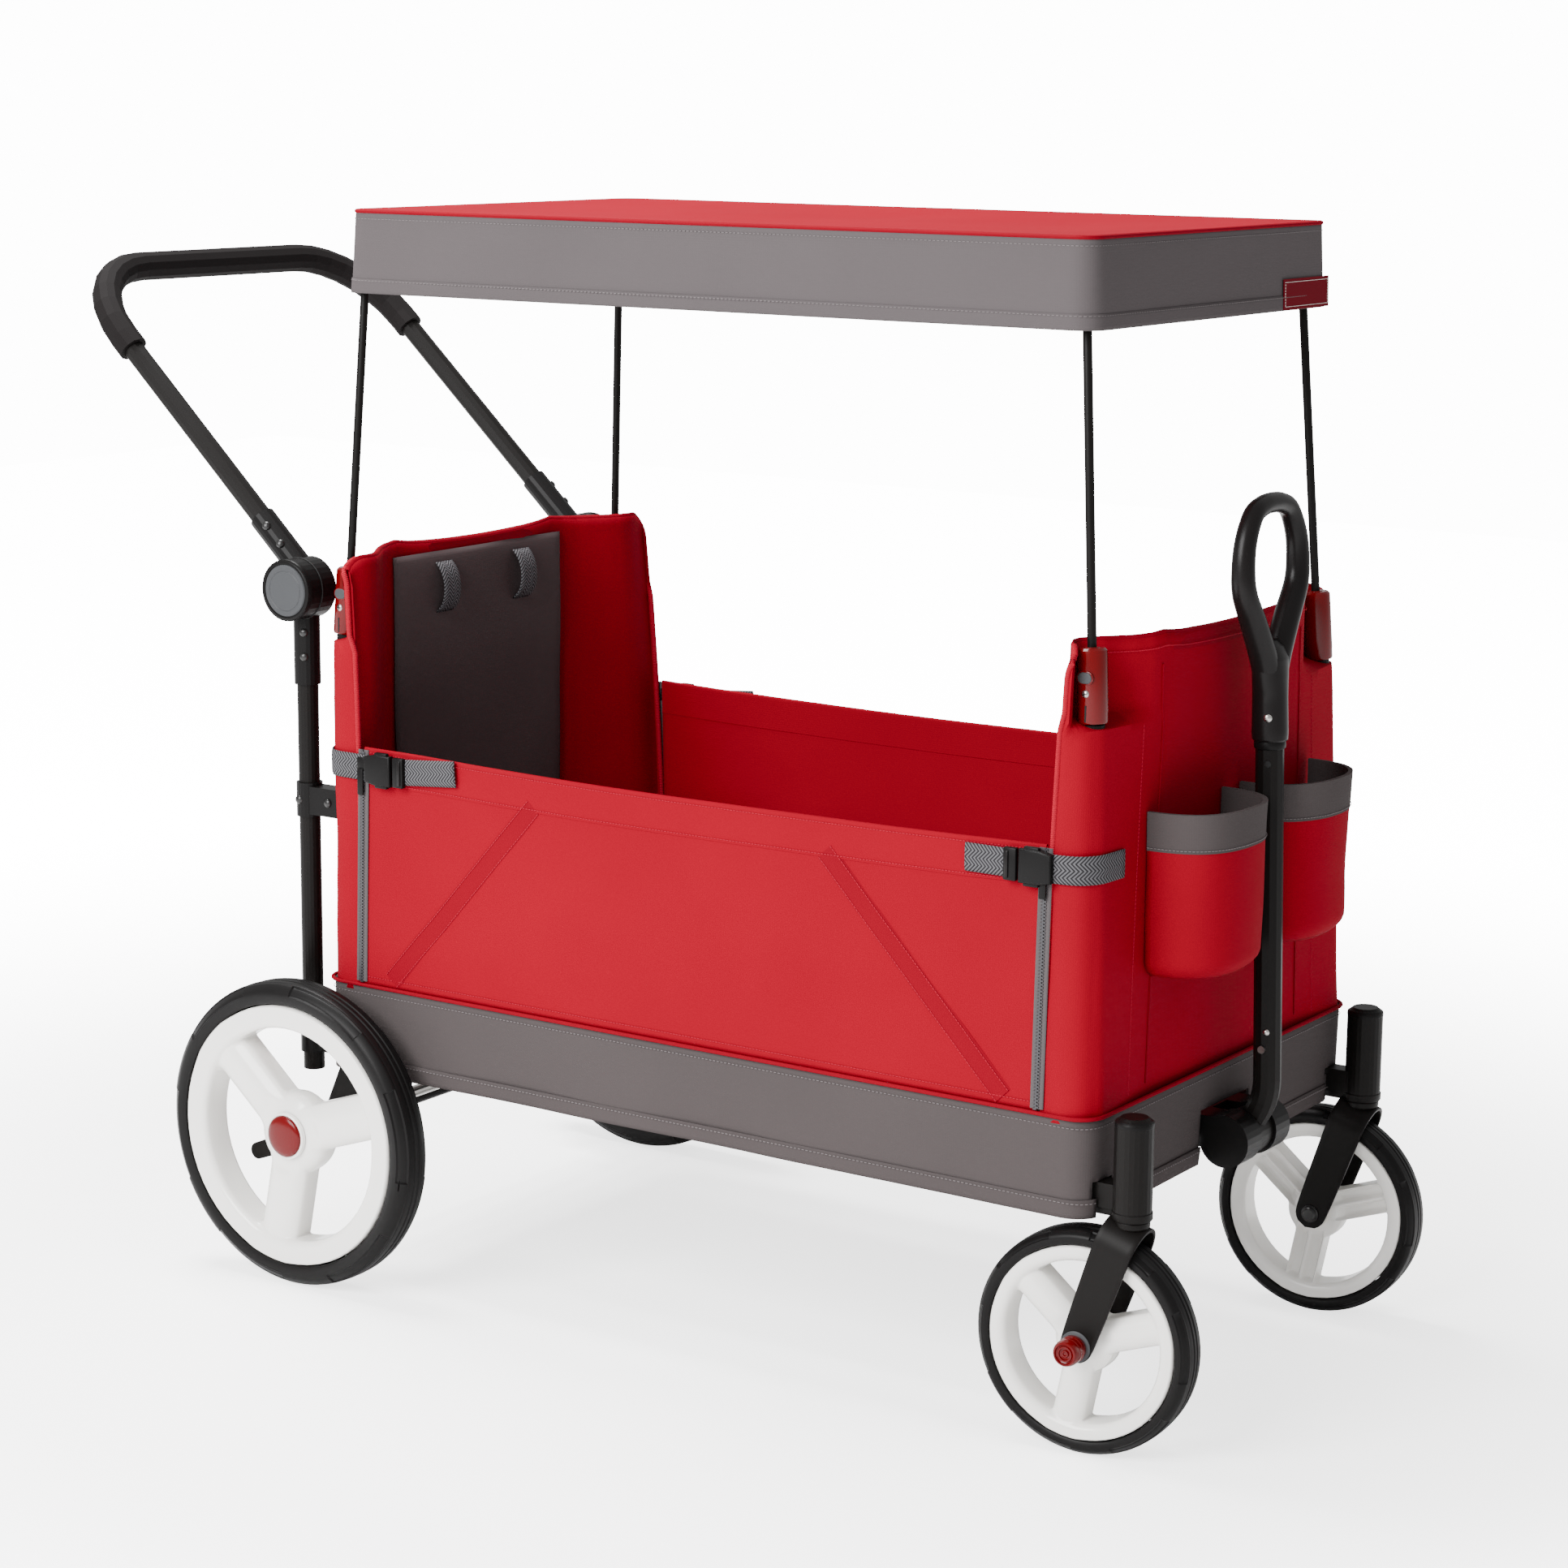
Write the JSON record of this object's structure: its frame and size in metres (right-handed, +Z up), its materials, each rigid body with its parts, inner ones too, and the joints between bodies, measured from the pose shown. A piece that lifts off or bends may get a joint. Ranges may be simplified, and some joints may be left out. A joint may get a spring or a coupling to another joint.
{
  "type": "folding kids pull wagon",
  "caption": "Folding children's wagon with a red and gray fabric tub, flat canopy on poles, push handle and pull handle.",
  "frame": {"origin": "on the ground in the middle of the bounding box", "axes": "+X towards the pull handle, +Y to the left of someone who pulls it, +Z up"},
  "size_m": [1.3234, 0.6276, 1.048],
  "materials": {
    "red_fabric": "plain woven polyester, matt",
    "gray_fabric": "plain woven polyester, matt",
    "black_steel": "satin black powder coat",
    "black_plastic": "fine grained",
    "red_plastic": "glossy",
    "gray_plastic": "satin",
    "white_plastic": "semi-gloss",
    "tyre": "satin moulded",
    "foam": "matt closed-cell foam",
    "floor_mat": "padded woven mat on a board",
    "silver_steel": "zinc plated"
  },
  "bodies": {
    "rear_frame": {"rear_frame": "black_steel", "rear_panel": "red_fabric", "rear_axle": "silver_steel", "skirt": "gray_fabric", "pole_socket_rear_left": "red_plastic", "pole_socket_rear_right": "red_plastic", "post_hub_left": "black_plastic", "post_hub_right": "black_plastic", "push_upright_left": "black_steel", "push_upright_right": "black_steel", "upright_clamp_left": "black_plastic", "upright_clamp_right": "black_plastic", "low_bracket_left": "black_plastic", "low_bracket_right": "black_plastic"},
    "front_frame": {"front_frame": "black_steel", "front_panel": "red_fabric", "pull_pivot_housing": "black_plastic", "pole_socket_front_left": "red_plastic", "pole_socket_front_right": "red_plastic", "bottle_pocket_left": "red_fabric", "bottle_pocket_right": "red_fabric"},
    "floor_rear": {"floor_board_rear": "floor_mat"},
    "floor_front": {"floor_board_front": "floor_mat"},
    "push_handle": {"push_bar": "black_steel", "foam_grip": "foam", "arm_hub_left": "black_plastic", "arm_hub_right": "black_plastic"},
    "pull_handle": {"pull_outer_tube": "black_steel"},
    "pull_grip": {"pull_inner_tube": "black_steel", "pull_grip": "black_plastic"},
    "snap_button": {"snap_button": "silver_steel"},
    "brake": {"brake_bar": "black_plastic"},
    "canopy": {"canopy": "red_fabric"},
    "hub_button_left": {"hub_button_left": "gray_plastic"},
    "rear_wheel_left": {"rear_wheel_left": "white_plastic", "rear_tyre_left": "tyre", "hub_cap_left": "red_plastic"},
    "caster_left": {"caster_fork_left": "black_steel", "front_axle_left": "red_plastic"},
    "front_wheel_left": {"front_wheel_left": "white_plastic", "front_tyre_left": "tyre"},
    "side_panel_left": {"side_panel_left": "red_fabric"},
    "canopy_pole_front_left": {"canopy_pole_front_left": "black_steel"},
    "socket_button_front_left": {"socket_button_front_left": "gray_plastic"},
    "canopy_pole_rear_left": {"canopy_pole_rear_left": "black_steel"},
    "socket_button_rear_left": {"socket_button_rear_left": "gray_plastic"},
    "hub_button_right": {"hub_button_right": "gray_plastic"},
    "rear_wheel_right": {"rear_wheel_right": "white_plastic", "rear_tyre_right": "tyre", "hub_cap_right": "red_plastic"},
    "caster_right": {"caster_fork_right": "black_steel", "front_axle_right": "red_plastic"},
    "front_wheel_right": {"front_wheel_right": "white_plastic", "front_tyre_right": "tyre"},
    "side_panel_right": {"side_panel_right": "red_fabric"},
    "canopy_pole_front_right": {"canopy_pole_front_right": "black_steel"},
    "socket_button_front_right": {"socket_button_front_right": "gray_plastic"},
    "canopy_pole_rear_right": {"canopy_pole_rear_right": "black_steel"},
    "socket_button_rear_right": {"socket_button_rear_right": "gray_plastic"}
  },
  "joints": [
    {"name": "fold", "type": "hinge", "parent": "rear_frame", "child": "floor_rear", "pos_m": [-0.25361, 0, 0.262], "axis": [0, -1, 0], "range_deg": [0, 75], "deforming": ["canopy", "side_panel_left", "side_panel_right", "skirt"]},
    {"name": "fold_middle", "type": "hinge", "parent": "floor_rear", "child": "floor_front", "pos_m": [0.13639, 0, 0.262], "axis": [0, -1, 0], "range_deg": [-150, 0]},
    {"name": "fold_front", "type": "hinge", "parent": "floor_front", "child": "front_frame", "pos_m": [0.52639, 0, 0.262], "axis": [0, -1, 0], "range_deg": [0, 75]},
    {"name": "push_handle_turn", "type": "hinge", "parent": "rear_frame", "child": "push_handle", "pos_m": [-0.33911, 0, 0.68], "axis": [0, 1, 0], "range_deg": [-70, 40]},
    {"name": "hub_button_press_left", "type": "slide", "parent": "push_handle", "child": "hub_button_left", "axis": [0, -1, 0], "range_m": [0, 0.003], "stiffness_N_per_m": 600, "springref_m": -0.001},
    {"name": "rear_wheel_roll_left", "type": "hinge", "parent": "rear_frame", "child": "rear_wheel_left", "pos_m": [-0.29691, 0.289, 0.1524], "axis": [0, 1, 0], "continuous": true},
    {"name": "caster_turn_left", "type": "hinge", "parent": "front_frame", "child": "caster_left", "pos_m": [0.59839, 0.228, 0.2165], "axis": [0, 0, 1], "continuous": true},
    {"name": "front_wheel_roll_left", "type": "hinge", "parent": "caster_left", "child": "front_wheel_left", "pos_m": [0.56001, 0.22498, 0.1016], "axis": [-0.0785, 0.9969, 0], "continuous": true},
    {"name": "side_panel_drop_left", "type": "hinge", "parent": "rear_frame", "child": "side_panel_left", "pos_m": [0.13239, 0.25075, 0.302], "axis": [-1, 0, 0], "range_deg": [0, 90]},
    {"name": "hub_button_press_right", "type": "slide", "parent": "push_handle", "child": "hub_button_right", "axis": [0, 1, 0], "range_m": [0, 0.003], "stiffness_N_per_m": 600, "springref_m": -0.001},
    {"name": "rear_wheel_roll_right", "type": "hinge", "parent": "rear_frame", "child": "rear_wheel_right", "pos_m": [-0.29691, -0.289, 0.1524], "axis": [0, 1, 0], "continuous": true},
    {"name": "caster_turn_right", "type": "hinge", "parent": "front_frame", "child": "caster_right", "pos_m": [0.59839, -0.228, 0.2165], "axis": [0, 0, 1], "continuous": true},
    {"name": "front_wheel_roll_right", "type": "hinge", "parent": "caster_right", "child": "front_wheel_right", "pos_m": [0.56001, -0.23102, 0.1016], "axis": [-0.0785, 0.9969, 0], "continuous": true},
    {"name": "side_panel_drop_right", "type": "hinge", "parent": "rear_frame", "child": "side_panel_right", "pos_m": [0.13239, -0.25075, 0.302], "axis": [1, 0, 0], "range_deg": [0, 90]},
    {"name": "brake_press", "type": "hinge", "parent": "rear_frame", "child": "brake", "pos_m": [-0.32761, 0, 0.13], "axis": [0, -1, 0], "range_deg": [0, 12]},
    {"name": "canopy_lift", "type": "slide", "parent": "rear_frame", "child": "canopy", "axis": [0, 0, 1], "range_m": [0, 0.11]},
    {"name": "pole_lift_front_left", "type": "slide", "parent": "front_frame", "child": "canopy_pole_front_left", "axis": [-0.0678, -0.0409, 0.9969], "range_m": [0, 0.112]},
    {"name": "socket_button_press_front_left", "type": "slide", "parent": "front_frame", "child": "socket_button_front_left", "axis": [0, -1, 0], "range_m": [0, 0.002], "stiffness_N_per_m": 400, "springref_m": -0.001},
    {"name": "pole_lift_front_right", "type": "slide", "parent": "front_frame", "child": "canopy_pole_front_right", "axis": [-0.0678, 0.0409, 0.9969], "range_m": [0, 0.112]},
    {"name": "socket_button_press_front_right", "type": "slide", "parent": "front_frame", "child": "socket_button_front_right", "axis": [0, 1, 0], "range_m": [0, 0.002], "stiffness_N_per_m": 400, "springref_m": -0.001},
    {"name": "pole_lift_rear_left", "type": "slide", "parent": "rear_frame", "child": "canopy_pole_rear_left", "axis": [0.0519, -0.0409, 0.9978], "range_m": [0, 0.112]},
    {"name": "socket_button_press_rear_left", "type": "slide", "parent": "rear_frame", "child": "socket_button_rear_left", "axis": [0, -1, 0], "range_m": [0, 0.002], "stiffness_N_per_m": 400, "springref_m": -0.001},
    {"name": "pole_lift_rear_right", "type": "slide", "parent": "rear_frame", "child": "canopy_pole_rear_right", "axis": [0.0519, 0.0409, 0.9978], "range_m": [0, 0.112]},
    {"name": "socket_button_press_rear_right", "type": "slide", "parent": "rear_frame", "child": "socket_button_rear_right", "axis": [0, 1, 0], "range_m": [0, 0.002], "stiffness_N_per_m": 400, "springref_m": -0.001},
    {"name": "pull_handle_turn", "type": "hinge", "parent": "front_frame", "child": "pull_handle", "pos_m": [0.58889, 0, 0.2375], "axis": [0, 1, 0], "range_deg": [0, 100]},
    {"name": "pull_handle_extend", "type": "slide", "parent": "pull_handle", "child": "pull_grip", "axis": [-0.0311, 0, 0.9995], "range_m": [0, 0.25]},
    {"name": "snap_button_press", "type": "slide", "parent": "pull_handle", "child": "snap_button", "axis": [0, 1, 0], "range_m": [0, 0.002], "stiffness_N_per_m": 400, "springref_m": -0.001}
  ],
  "couplings": [
    {"joint": "fold_middle", "follows": "fold", "ratio": -2},
    {"joint": "fold_front", "follows": "fold", "ratio": 1},
    {"joint": "pole_lift_front_left", "follows": "canopy_lift", "ratio": 1.0031},
    {"joint": "pole_lift_front_right", "follows": "canopy_lift", "ratio": 1.0031},
    {"joint": "pole_lift_rear_left", "follows": "canopy_lift", "ratio": 1.0022},
    {"joint": "pole_lift_rear_right", "follows": "canopy_lift", "ratio": 1.0022}
  ]
}
